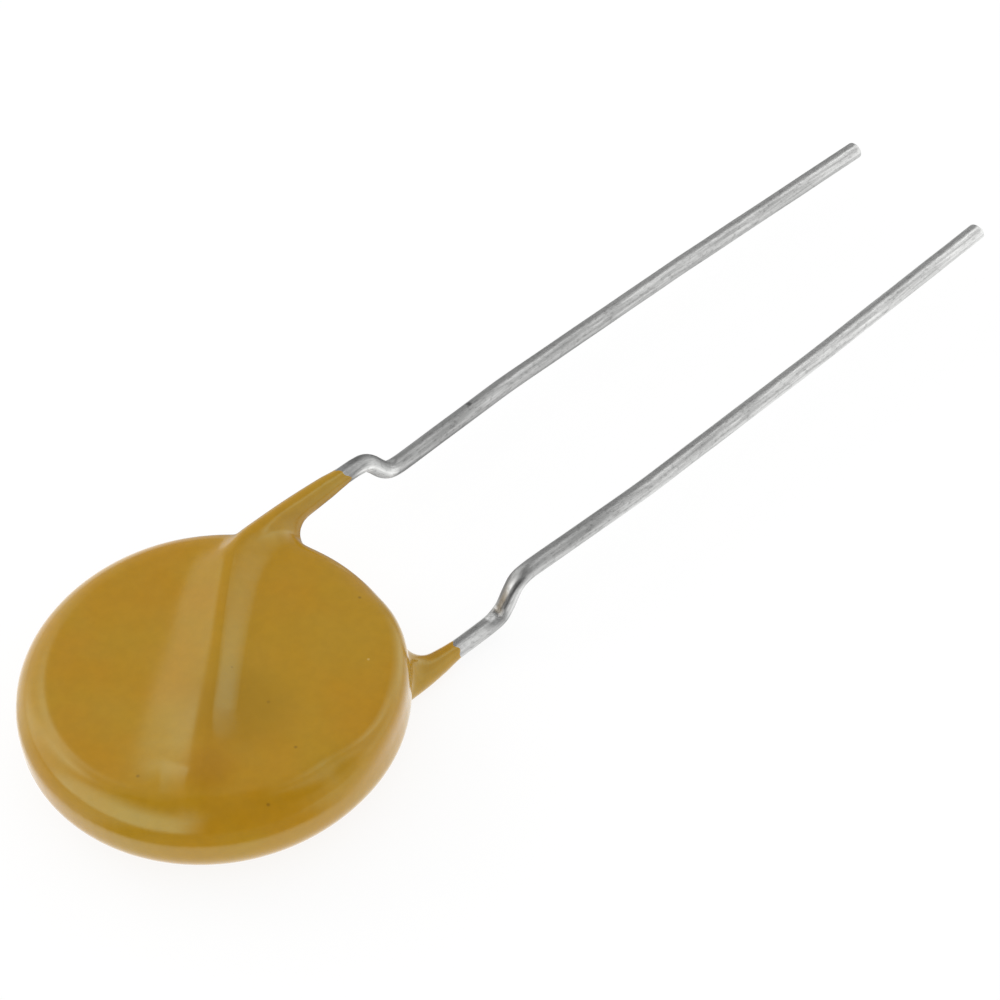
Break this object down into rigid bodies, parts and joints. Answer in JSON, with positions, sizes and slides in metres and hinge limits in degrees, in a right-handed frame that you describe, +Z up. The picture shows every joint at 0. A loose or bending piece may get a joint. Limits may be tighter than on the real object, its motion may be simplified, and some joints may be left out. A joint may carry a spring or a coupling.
{
  "type": "disc varistor",
  "caption": "Radial-leaded disc varistor, lying flat: a ceramic disc dipped in mustard epoxy with a ridge over each soldered wire, and kinked round leads for through-hole mounting.",
  "frame": {"origin": "on the surface that the part lies on, under the middle of its overall length and width", "axes": "+Z up, normal to the disc's front face; +Y along the leads from the disc to their tips; +X across the lead pitch, from the front lead to the rear lead"},
  "size_m": [0.0146, 0.0444, 0.004],
  "materials": {
    "epoxy": "smooth dip-coated mustard epoxy, semi-gloss",
    "zinc_oxide": "sintered, dark grey-green, matt",
    "fired_silver": "fired silver paste, matt and whitish",
    "solder": "dull grey solder",
    "tinned_wire": "dull tinned copper with fine drawing streaks and tool marks"
  },
  "bodies": {
    "root": {"epoxy_coating": "epoxy", "ceramic_disc": "zinc_oxide", "front_electrode": "fired_silver", "rear_electrode": "fired_silver", "front_solder": "solder", "rear_solder": "solder", "front_lead": "tinned_wire", "rear_lead": "tinned_wire"}
  },
  "joints": []
}
